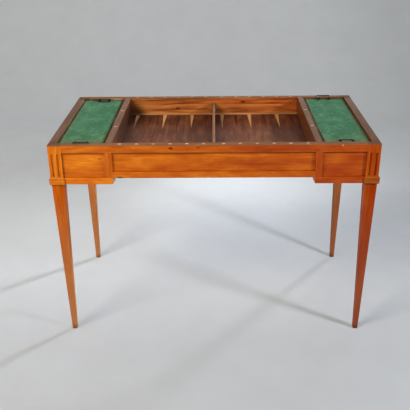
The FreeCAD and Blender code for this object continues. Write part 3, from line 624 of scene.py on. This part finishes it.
@dataclass
class Carcase:
    """The frame, panels, partitions and legs, in polished wood with the fibres along each board."""

    # the walls: outside, their redder tint and painted shade to the right and its run in the top band in
    # mm, and inside
    tones: Tones = Tones("#b0520a", "#d06c0e", "#e88e20")
    stain_and_shade: str = "#c59cb0"
    band_stain_and_shade_run: Pair = (-430.0, 120.0)
    inside: Tones = Tones("#7a3f1a", "#a8642c", "#c08048")
    end_inside: Tones = Tones("#60452d", "#755537", "#8d6a48")
    # the collars, the posts above them and the legs below them
    collar_tones: Tones = Tones("#b4600c", "#da7c1a", "#ec9830")
    collar_stain_and_shade: str = "#987c88"
    post_tones: Tones = Tones("#b0520e", "#d0701a", "#e8922c")
    leg_tones: Tones = Tones("#9e4306", "#bd570c", "#d4771a")
    # the back legs' paler colour is painted haze of light from the bright background
    back_leg_tones: Tones = Tones("#af6023", "#cd7c3c", "#e29a5b")
    back_leg_stain_and_shade: str = "#dcc6c6"
    # the foot's paler colour, from polish rubbed thin and painted light bounced off the floor
    worn_and_floor_lit_foot: str = "#b37648"
    # the partitions and the divider, and the painted shade on the left partition's face towards the board
    dark_tones: Tones = Tones("#46240f", "#613318", "#7c4622")
    partition_painted_shade: str = "#1c0f08"
    # worn upper faces: of the ends and posts, the long rails, the partitions and the divider
    worn: str = "#674b38"
    worn_long: str = "#7d5232"
    worn_partition: str = "#745442"
    worn_divider: str = "#8c6248"
    # other marks
    old_polish: str = "#4a3a24"
    # the colour of a chip at the front and of a painted highlight on the back wall
    chip_and_highlight: str = "#e0b48c"
    red_knot: str = "#8c2a06"
    red_patch: str = "#7c2806"

    def long_marks(self) -> tuple[Mark, ...]:
        """Set out the knots, stains, chips, painted shades and painted highlight of the front and of the
        back wall's inner face.

        Returns:
            The marks.
        """
        front, panel, wall = (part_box(name)[0].y / MM for name in (
            "front_top_rail", "front_left_panel", "back_top_rail"))
        low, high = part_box("right_lid_board")
        wells = [hand.value * (low.x + high.x) / 2 / MM for hand in Hand]
        return (
            # the front: knots in the band and the left panel, a red patch, painted shade in a lower corner
            # and a chip
            Mark((-141.0, front, 726.0), (10.0, 6.0, 6.0), 0.85),
            Mark((-51.0, front, 728.0), (8.0, 5.0, 4.0), 0.6),
            Mark((-380.0, panel, 687.0), (9.0, 5.0, 6.0), 0.5, self.red_knot),
            Mark((341.0, front, 716.0), (14.0, 5.0, 12.0), 0.4, self.red_patch),
            # painted shade in the lower corner by the left stile
            Mark((-315.0, front, 622.0), (12.0, 9.0, 5.0), 0.95),
            Mark((423.0, front, 735.0), (5.0, 4.0, 4.0), 0.9, self.chip_and_highlight),
            # the back wall: old polish over the wells, knots, a painted highlight along the top edge, and
            # painted shade in two corners of the board
            *(Mark((x, wall, 734.0), (112.0, 5.0, 16.0), 0.9, self.old_polish) for x in wells),
            Mark((-147.0, wall, 694.0), (14.0, 6.0, 7.0), 0.8),
            Mark((-165.0, wall, 691.0), (16.0, 6.0, 4.0), 0.45),
            Mark((118.0, wall, 720.0), (13.0, 6.0, 7.0), 0.8),
            # painted highlight: a pale strip where the back rail's inner top edge catches the light
            Mark((-395.0, wall, 736.0), (36.0, 3.0, 5.0), 0.9, self.chip_and_highlight),
            # painted shade where the left partition and the divider shadow the back wall
            Mark((-336.0, wall, 662.0), (78.0, 8.0, 76.0), 0.8, PAINTED_CORNER_SHADE),
            Mark((12.0, wall, 664.0), (46.0, 8.0, 52.0), 0.45, PAINTED_CORNER_SHADE),
        )

    def corner_marks(self) -> tuple[Mark, ...]:
        """Old polish on the inner corners of the posts, which show above the lids.

        Returns:
            One mark for each leg.
        """
        inset, reach = 8.0, (34.0, 34.0, 14.0)
        (left, front, _), (_, back, top) = (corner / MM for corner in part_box("left_lid_baize"))
        return tuple(Mark((x, y, top), reach, 0.95, self.old_polish) for x in (left + inset, -left - inset)
                     for y in (front + inset, back - inset))

    def dress_walls(self) -> None:
        """Dress the rails, panels, stiles and collars by the direction of their fibres."""
        walls = [n for n in NODES if n.endswith(("top_rail", "lower_rail", "panel"))]
        cross_walls = [n for n in walls if "_end_" in n]
        bands = ("front_top_rail", "back_top_rail")
        polish = {"tones": self.tones, "stain_and_shade": self.stain_and_shade}
        long_polish = {"grain": Grain.ALONG_X, "contrast": 0.2, "cloud_share": 0.6, "inside": self.inside,
                       "worn": self.worn_long, "marks": self.long_marks(), **polish}
        dress(bands, PolishedWood(
            "polished_walnut_band", stain_and_shade_run=self.band_stain_and_shade_run, **long_polish).make())
        dress([n for n in walls if n not in (*cross_walls, *bands)], PolishedWood(
            "polished_walnut_long", **long_polish).make())
        dress(cross_walls, PolishedWood(
            "polished_walnut_across", Grain.ALONG_Y, inside=self.end_inside, worn=self.worn, dirt_and_shade_depth=0.6,
            **polish).make())
        dress([n for n in NODES if n.endswith("stile")], PolishedWood(
            "polished_walnut_upright", Grain.ALONG_Z, **polish).make())
        dress([n for n in NODES if n.endswith("collar")], PolishedWood(
            "polished_walnut_collar", Grain.ALONG_X, self.collar_tones, stain_and_shade=self.collar_stain_and_shade).make())

    def dress_legs(self) -> None:
        """Dress the legs: the back ones are painted paler than the front ones, hazed by light from the
        bright background.
        """
        upright = {"grain": Grain.ALONG_Z, "tones": self.post_tones, "worn_and_floor_lit_foot": self.worn_and_floor_lit_foot,
                   "worn": self.worn, "shine": 0.02, "coat": 0.0, "dirt_and_shade_depth": 0.22,
                   "marks": self.corner_marks()}
        dress(("back_left_leg", "back_right_leg"), PolishedWood(
            "polished_walnut_back_leg", below_collar=self.back_leg_tones, stain_and_shade=self.back_leg_stain_and_shade,
            **upright).make())
        dress(("front_left_leg", "front_right_leg"), PolishedWood(
            "polished_walnut_leg", below_collar=self.leg_tones, stain_and_shade=self.stain_and_shade, **upright).make())

    def dress_bars(self) -> None:
        """Dress the partitions, of which the left one has painted shade on its face towards the board, and
        the divider.
        """
        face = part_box("left_partition")[1].x / MM
        # painted shade on the left partition's face towards the board
        shaded_face = Mark((face, 60.0, 690.0), (10.0, 330.0, 64.0), 0.75, self.partition_painted_shade)
        dress(("left_partition", "right_partition"), PolishedWood(
            "polished_dark_walnut_across", Grain.ALONG_Y, self.dark_tones, worn=self.worn_partition,
            marks=(shaded_face,)).make())
        dress(("board_divider",), PolishedWood(
            "polished_dark_walnut_bar", Grain.ALONG_Y, self.dark_tones, worn=self.worn_divider,
            worn_level=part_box("board_divider")[1].z / MM).make())

    def dress(self) -> None:
        """Dress every board of the carcase."""
        self.dress_walls()
        self.dress_legs()
        self.dress_bars()


@dataclass
class Board:
    """The sunken board: floor planks, inlaid points, beads, and the plain boards that carry it."""

    floor: Tones = Tones("#38190e", "#5e3220", "#82502f")
    light_point: Tones = Tones("#a87848", "#c89a62", "#dab27c")
    dark_point: Tones = Tones("#26150d", "#382014", "#4a2c1c")
    bead: Tones = Tones("#8a5630", "#a46c40", "#b88050")
    pine: Tones = Tones("#8a6238", "#a97c4a", "#c39a66")
    planks_per_half: int = 3
    seam_mm: float = 1.6
    seam_dirt: str = "#160b06"
    dust_and_sheen: str = "#a8784e"

    def floor_marks(self) -> tuple[Mark, ...]:
        """Dirt in the joints of the planks, painted shade in the back left corner, and a pale dusty film
        with painted sheen towards the front.

        Returns:
            The marks.
        """
        low, high = (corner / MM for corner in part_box("right_floor_planks"))
        pitch = (high.x - low.x) / self.planks_per_half
        joints = [hand.value * (low.x + pitch * k) for hand in Hand for k in range(1, self.planks_per_half)]
        return (
            *(Mark((x, 0.0, high.z), (self.seam_mm, 900.0, 30.0), 0.75, self.seam_dirt) for x in joints),
            # painted shade in the back left corner of the board
            Mark((-262.0, 240.0, high.z), (72.0, 90.0, 30.0), 0.5, PAINTED_CORNER_SHADE),
            # a pale dusty film with painted sheen towards the front
            Mark((70.0, -60.0, high.z), (340.0, 200.0, 40.0), 0.1, self.dust_and_sheen),
        )

    def dress(self) -> None:
        """Dress the board and the hidden boards of the wells."""
        dress(("left_floor_planks", "right_floor_planks"), PolishedWood(
            "waxed_dark_walnut", Grain.ALONG_Y, self.floor, roughness=0.42, fibre_mm=8.0, cloud_share=0.5,
            # painted shade and grime reach far into the corners of the board
            contrast=0.2, dirt_and_shade_mm=60.0, dirt_and_shade_depth=0.4, marks=self.floor_marks()).make())
        dress(("light_points",), PolishedWood(
            "waxed_boxwood_inlay", Grain.ALONG_Y, self.light_point, roughness=0.4, fibre_mm=3.0).make())
        dress(("dark_points",), PolishedWood(
            "stained_pearwood_inlay", Grain.ALONG_Y, self.dark_point, roughness=0.4, fibre_mm=3.0).make())
        dress(("floor_beads",), PolishedWood(
            "polished_walnut_bead", Grain.ALONG_X, self.bead, dirt_and_shade_mm=1.0,
            # the mark is painted shade in the back left corner of the board
            marks=(Mark((-336.0, 262.0, 670.0), (76.0, 12.0, 12.0), 0.8, PAINTED_CORNER_SHADE),)).make())
        dress(("floor_bearers", "well_bearers", "lid_ledges", "left_well_bottom", "right_well_bottom",
               "left_lid_board", "right_lid_board"), PolishedWood(
            "planed_pine", Grain.ALONG_X, self.pine, roughness=0.6, coat=0.0).make())


@dataclass
class Bushes:
    """Turned bone sleeves round the peg holes, in place of the plain many-sided ones."""

    finish: Material
    browned: Material
    # the hole's radius and the lip's, and the number of points round a sleeve and of sleeves in each half
    hole: float = 2.3 * MM
    lip: float = 0.5 * MM
    around: int = 40
    per_half: int = 6

    def build(self, name: str, centres: np.ndarray) -> None:
        """Make the sleeves of one rail and hide the node that they stand for.

        Each sleeve is a closed profile of radius and height, turned about its own upright axis: the outer
        wall, a rounded lip, a top that dips to the hole, the hole's wall and the foot.

        Args:
            name: The CAD node.
            centres: Plan places of the sleeves in metres, two numbers each.
        """
        low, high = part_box(name)
        foot, hole, lip = low.z, self.hole, self.lip
        outer = high.y - centres[:, 1].max()
        profile = np.array([
            (hole, foot), (outer, foot), (outer, TOP - lip), (outer - 0.3 * lip, TOP - 0.3 * lip),
            (outer - lip, TOP), (hole + 2 * lip, TOP), (hole + 0.6 * lip, TOP - 0.4 * lip),
            (hole, TOP - 2 * lip)])
        turn = np.linspace(0, math.tau, self.around, endpoint=False)
        radius, height = profile[:, None, 0], np.broadcast_to(profile[:, 1:], (len(profile), self.around))
        sleeve = np.stack([radius * np.cos(turn), radius * np.sin(turn), height], -1)
        points = np.tile(sleeve, (len(centres), 1, 1, 1))
        points[..., :2] += centres[:, None, None, :]
        one = grid_faces(len(profile), self.around, ring_rows=True, ring_columns=True)
        first = np.arange(len(centres)) * len(profile) * self.around
        faces = (one[None] + first[:, None, None]).reshape(-1, 4)
        finish = self.browned if name.startswith("back") else self.finish
        piece = make_object(f"turned_{name}", points, faces.tolist(), finish)
        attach(piece, "table")
        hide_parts(name)

    def build_all(self) -> None:
        """Make the sleeves of both long rails, one for each point, and of both partitions."""
        face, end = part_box("board_divider")[1].x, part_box("right_partition")[0].x
        half = face + (end - face) * (np.arange(self.per_half) + 0.5) / self.per_half
        along = np.concatenate([-half[::-1], half])
        for name in ("front_peg_bushes", "back_peg_bushes"):
            low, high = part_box(name)
            self.build(name, np.stack([along, np.full(len(along), (low.y + high.y) / 2)], -1))
        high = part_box("partition_peg_bushes")[1]
        middle = (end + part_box("right_partition")[1].x) / 2
        far = high.y - (high.x - middle)
        centres = np.array([(x, y) for x in (-middle, middle) for y in (-far, far)])
        self.build("partition_peg_bushes", centres)


class EdgeDarkening(NamedTuple):
    """A darkening that falls off from an edge, used for grime and for painted shadow: its strength there,
    its reach and how sharply it ends.
    """

    strength: float
    reach: float
    sharpness: float = 1.0

    def share(self, away: np.ndarray) -> np.ndarray:
        """Darkening at these distances from the edge: strength * exp(-(distance / reach) ** sharpness)."""
        return self.strength * np.exp(-(away / self.reach) ** self.sharpness)


@dataclass
class Lid:
    """A lift-out lid: its baize, its eyes and its two bails."""

    hand: Hand
    baize: Material
    iron: Material
    # the baize: points across and along it, the height of its ripples, the radians that their two waves
    # turn by across and along it, and the size of its rolled rim
    grid: tuple[int, int] = (61, 181)
    ripple: float = 0.1 * MM
    waves: tuple[Pair, Pair] = ((9.0, 4.0), (-3.0, 23.0))
    roll_width: float = 3 * MM
    roll_depth: float = 0.5 * MM
    # grime along every edge and along the near one, and a painted shadow beside the partition
    rim_soil: EdgeDarkening = EdgeDarkening(1.4, 4.5 * MM)
    near_soil: EdgeDarkening = EdgeDarkening(0.45, 50 * MM)
    partition_painted_shadow: EdgeDarkening = EdgeDarkening(1.5, 9 * MM, 4.0)
    # a bail: from its middle to its arms, from its pivot to its far side, its bends, pins and wire
    arm: float = 25.3 * MM
    reach: float = 20 * MM
    bend: float = 3 * MM
    bend_points: int = 9
    pin_start: float = 16.5 * MM
    wire: float = 1.75 * MM
    wire_sides: int = 20
    # how far a bail dips onto the baize, and how far it leans up over the rail
    dip: float = math.radians(9.93)
    lean: float = math.radians(16.88)

    @property
    def end(self) -> str:
        """The end of the table, as the names of its nodes begin."""
        return self.hand.name.lower()

    def lay_baize(self) -> None:
        """Lay the sheet of baize on the lid board.

        The upper side is a height over a grid of width and length: flat, with slow ripples that are the
        product of two slanting sine waves, and rolled over at the rim by the square of the closeness to
        the edge. A flat under side of the same grid lies on the board, and a ring of walls joins the two.
        """
        name = f"{self.end}_lid_baize"
        low, high = (np.array(corner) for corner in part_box(name))
        across, along = np.meshgrid(*(np.linspace(0, 1, count) for count in self.grid), indexing="ij")
        x = low[0] + (high[0] - low[0]) * across
        y = low[1] + (high[1] - low[1]) * along
        first, second = (a * across + b * along for a, b in self.waves)
        waves = np.sin(first + self.hand.value) * np.sin(second)
        rim = np.minimum(np.minimum(x - low[0], high[0] - x), np.minimum(y - low[1], high[1] - y))
        roll = np.clip(1 - rim / self.roll_width, 0, 1) ** 2
        z = high[2] - self.ripple + self.ripple * waves * (1 - roll) - self.roll_depth * roll
        points = np.stack([np.stack([x, y, z], -1), np.stack([x, y, np.full_like(z, low[2])], -1)])
        index = np.arange(x.size).reshape(x.shape)
        ring = np.concatenate([index[:-1, 0], index[-1, :-1], index[:0:-1, -1], index[0, :0:-1]])
        walls = np.stack([ring, ring + x.size, np.roll(ring, -1) + x.size, np.roll(ring, -1)], -1)
        upper = grid_faces(*x.shape)[:, ::-1]
        faces = np.concatenate([upper, upper[:, ::-1] + x.size, walls])
        piece = make_object(f"{self.end}_baize", points, faces.tolist(), self.baize)
        inner = x - low[0] if self.hand is Hand.RIGHT else high[0] - x
        # the grime of the rims, and a painted shadow beside the partition
        soil = self.rim_soil.share(rim) + self.near_soil.share(y - low[1]) + self.partition_painted_shadow.share(inner)
        measure = piece.data.attributes.new(WoolBaize.soil_and_shade_attribute, "FLOAT", "POINT")
        measure.data.foreach_set("value", np.tile(np.clip(soil, 0, 1).ravel(), 2))
        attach(piece, f"{self.end}_lid")
        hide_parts(name)

    def wire_line(self) -> np.ndarray:
        """The middle line of a bail in its own plane: in at one eye, out along an arm, across, and back.

        Straight runs joined by quarter circles of the bend's radius.

        Returns:
            Points across and out from the pivot, two numbers each.
        """
        turn = np.linspace(0, math.pi / 2, self.bend_points)
        near_x, far = self.arm - self.bend, self.reach - self.bend
        low_bend = np.stack([near_x + self.bend * np.sin(turn), self.bend - self.bend * np.cos(turn)], -1)
        high_bend = np.stack([near_x + self.bend * np.cos(turn), far + self.bend * np.sin(turn)], -1)
        half = np.concatenate([[(self.pin_start, 0)], low_bend, high_bend])
        return np.concatenate([half, (half * (-1, 1))[::-1]])

    def make_bail(self, edge: Edge) -> None:
        """Make one bail as round wire, in place of the six-sided one.

        A circle carried along the wire's line, square to it, with a flat cap at both ends. The front one
        at the left and the back one at the right lie out over the rail, and the others on the baize.

        Args:
            edge: The edge of the lid.
        """
        name = f"{self.end}_{edge.name.lower()}_bail"
        pivot = next(j["pos_m"] for j in frame["joints"] if j["child"] == name)
        line = self.wire_line()
        ahead = np.gradient(line, axis=0)
        ahead /= np.linalg.norm(ahead, axis=1, keepdims=True)
        normal = np.stack([-ahead[:, 1], ahead[:, 0]], -1)
        turn = np.linspace(0, math.tau, self.wire_sides, endpoint=False)
        ring = line[:, None, :] + self.wire * np.cos(turn)[None, :, None] * normal[:, None, :]
        rise = np.broadcast_to(self.wire * np.sin(turn), ring.shape[:2])
        lies_out = edge.value == self.hand.value
        tilt = self.lean if lies_out else -self.dip
        outward = edge.value if lies_out else -edge.value
        y = outward * (ring[..., 1] * math.cos(tilt) - rise * math.sin(tilt))
        z = ring[..., 1] * math.sin(tilt) + rise * math.cos(tilt)
        points = np.stack([ring[..., 0], y, z], -1) + pivot
        start = np.arange(len(turn))
        last = start + (len(line) - 1) * len(turn)
        faces = [*grid_faces(*rise.shape, ring_columns=True).tolist(), start[::-1].tolist(), last.tolist()]
        if outward < 0:
            faces = [face[::-1] for face in faces]
        piece = make_object(f"wire_{name}", points, faces, self.iron)
        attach(piece, name)
        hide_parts(name)

    def build(self) -> None:
        """Lay the baize, make the bails and dress the eyes."""
        self.lay_baize()
        for edge in Edge:
            self.make_bail(edge)
        dress((f"{self.end}_lid_eyes",), self.iron)


@dataclass(frozen=True)
class Lamp:
    """A soft square lamp: its place and target and side in metres, its power in watts and its colour."""

    name: str
    place: Place
    target: Place
    side: float
    power: float
    colour: str
    # how wide its light opens, in degrees
    spread: float = 180.0

    def hang(self) -> None:
        """Hang the lamp and turn it to its target."""
        lamp = bpy.data.lights.new(self.name, "AREA")
        lamp.energy, lamp.size, lamp.color = self.power, self.side, linear(self.colour)[:3]
        lamp.spread = math.radians(self.spread)
        holder = bpy.data.objects.new(self.name, lamp)
        holder.location = self.place
        ahead = Vector(self.target) - Vector(self.place)
        holder.rotation_euler = ahead.to_track_quat("-Z", "Y").to_euler()
        bpy.context.scene.collection.objects.link(holder)


@dataclass
class Studio:
    """A pale seamless floor, soft lamps and the camera at the photograph's angle, in metres and degrees."""

    # the lens and its sensor in millimetres
    lens: float = 57.31
    sensor: float = 36.0
    camera_place: Place = (0.008, -2.3133, 1.465)
    camera_turn: Place = (64.943, 0.6177, 0.7999)
    # the floor: its front, where it turns up into a wall, the turn's radius, and the wall's height
    floor_front: float = -30.0
    turn_start: float = 2.2
    turn_radius: float = 1.6
    turn_points: int = 25
    wall_height: float = 7.0
    half_width: float = 30.0
    # its paint, the size and gains of its scuffs, and how much of it is seen at its own pale colour
    floor_colour: str = "#c9cdcf"
    scuff_size: float = 0.2
    scuff_gains: Pair = (0.92, 1.08)
    own_light: float = 0.32
    # a painted pool of light makes the floor palest behind the table
    light_pool_place: Place = (0.2, 1.15, 0.0)
    light_pool_size: Place = (1.1, 0.75, 9.0)
    light_pool_gain: float = 1.56
    # far from the table, up to this many of the sizes, it grows as pale as the air
    far_place: Place = (0.0, 1.6, 0.0)
    far_size: Place = (3.0, 3.6, 99.0)
    far_end: float = 3.0
    far_gain: float = 1.6
    # painted shade makes it darker to the front and to the right: where that change starts and ends, and
    # the gains there
    front_shade: tuple[Pair, Pair] = ((-0.4, 0.5), (0.8, 1.07))
    right_shade: tuple[Pair, Pair] = ((0.8, 1.5), (1.0, 0.87))
    air_colour: str = "#e6eaf0"
    # the light that the air gives, and how pale it is seen beyond the floor
    air_strength: float = 0.16
    air_seen: float = 0.4
    lamps: tuple[Lamp, ...] = (
        Lamp("left_softbox", (-2.2, -2.2, 2.95), (0.0, 0.0, 0.6), 1.5, 140, "#fff4e6"),
        Lamp("right_lamp", (2.12, -1.3, 1.7), (0.0, 0.0, 0.3), 0.3, 54, "#ecf1ff"),
        Lamp("back_lamp", (2.13, 2.32, 1.8), (-0.9, 0.0, 0.2), 0.3, 7.5, "#eef3ff", 40.0),
    )

    @staticmethod
    def find_seen(add: Add) -> Node:
        """Tell the rays that show a surface, straight, mirrored or through glass, from other rays.

        Args:
            add: Adds a node to the tree.

        Returns:
            The node that gives 1 for the rays that show it.
        """
        rays = add("LightPath").outputs
        seen = add("Math", (rays["Is Camera Ray"], rays["Is Glossy Ray"]), operation="MAXIMUM")
        return add("Math", (seen, rays["Is Transmission Ray"]), operation="MAXIMUM")

    def paint_floor(self) -> Material:
        """Make the floor's paint, with a painted pool of light and painted shade, which the camera and
        reflections see in part at its own pale colour.

        Returns:
            The material.
        """
        material, add, place = start_material("painted_studio_floor")
        metres = add("VectorMath", {"Vector": place, "Scale": MM}, operation="SCALE")
        scuffs = add("TexNoise", {
            "Vector": metres, "Scale": 1 / self.scuff_size, "Detail": 6.0, "Roughness": 0.65})
        gains = [add("MapRange", (scuffs, 0.0, 1.0, *self.scuff_gains))]
        for centre, size, run in (
                (self.light_pool_place, self.light_pool_size, (0.0, 1.0, self.light_pool_gain, 1.0)),
                (self.far_place, self.far_size, (1.0, self.far_end, 1.0, self.far_gain))):
            span = measure_span(add, metres, centre, size)
            gains.append(add("MapRange", (span, *run), interpolation_type="SMOOTHSTEP"))
        where = add("SeparateXYZ", (metres,)).outputs
        for axis, (run, shade) in (("Y", self.front_shade), ("X", self.right_shade)):
            gains.append(add("MapRange", (where[axis], *run, *shade)))
        colour = linear(self.floor_colour)
        for gain in gains:
            colour = add("Mix", {"Factor": 1.0, "A": colour, "B": gain}, **MULTIPLY)
        matt = add("BsdfPrincipled", {"Base Color": colour, "Roughness": 0.75})
        glow = add("Emission", {"Color": colour})
        share = add("Math", (self.find_seen(add), self.own_light), operation="MULTIPLY")
        add("OutputMaterial", {"Surface": add("MixShader", (share, matt, glow))})
        return material

    def lay_floor(self) -> None:
        """Lay the floor: a straight run that turns up into a wall by a quarter circle, carried along X."""
        turn = np.linspace(0, math.pi / 2, self.turn_points)
        radius, start = self.turn_radius, self.turn_start
        bend = np.stack([start + radius * np.sin(turn), radius - radius * np.cos(turn)], -1)
        profile = np.concatenate([[(self.floor_front, 0.0)], bend, [(start + radius, self.wall_height)]])
        x = np.broadcast_to(np.array([[-self.half_width], [self.half_width]]), (2, len(profile)))
        points = np.concatenate([x[..., None], np.broadcast_to(profile, (2, *profile.shape))], -1)
        faces = grid_faces(*x.shape)[:, ::-1].tolist()
        floor = make_object("studio_floor", points, faces, self.paint_floor())

    def light(self) -> None:
        """Light the table from three sides, and faintly from all round."""
        world = bpy.data.worlds.new("studio_air")
        world.use_nodes = True
        world.node_tree.nodes.clear()
        add = partial(add_node, world.node_tree)
        seen = self.find_seen(add)
        strength = add("MapRange", (seen, 0.0, 1.0, self.air_strength, self.air_seen))
        air = add("Background", {"Color": linear(self.air_colour), "Strength": strength})
        add("OutputWorld", {"Surface": air})
        bpy.context.scene.world = world
        for lamp in self.lamps:
            lamp.hang()

    def place_camera(self) -> None:
        """Put the camera where the photograph was taken from."""
        lens = bpy.data.cameras.new("camera")
        lens.lens, lens.sensor_width = self.lens, self.sensor
        camera = bpy.data.objects.new("camera", lens)
        turn = Euler([math.radians(angle) for angle in self.camera_turn])
        camera.matrix_world = Matrix.Translation(self.camera_place) @ turn.to_matrix().to_4x4()
        bpy.context.scene.collection.objects.link(camera)
        bpy.context.scene.camera = camera

    def build(self) -> None:
        """Set the studio up."""
        self.lay_floor()
        self.light()
        self.place_camera()
        bpy.context.scene.view_settings.view_transform = "Standard"


def main() -> None:
    """Build and dress every sub-assembly, then set up the studio."""
    logging.basicConfig(level=logging.INFO, format="%(message)s")
    Carcase().dress()
    Board().dress()
    bone = TurnedBone("turned_bone", pale="#d4b292", yellow="#bf946a", canal="#745034").make()
    browned = TurnedBone("turned_browned_bone", pale="#b89870", yellow="#a07c52", canal="#6a4c2c").make()
    Bushes(bone, browned).build_all()
    baize = WoolBaize("fulled_wool_baize", Tones("#305d41", "#3f6f4f", "#5a8a66"), lint="#9fae92",
                      rubbed="#75694c", soiled_and_shaded="#3a3418").make()
    iron = ForgedIron("blackened_forged_iron", dark="#161b17", rubbed="#4a4f48").make()
    for hand in Hand:
        Lid(hand, baize, iron).build()
    Studio().build()


if __name__ == "__main__":
    main()
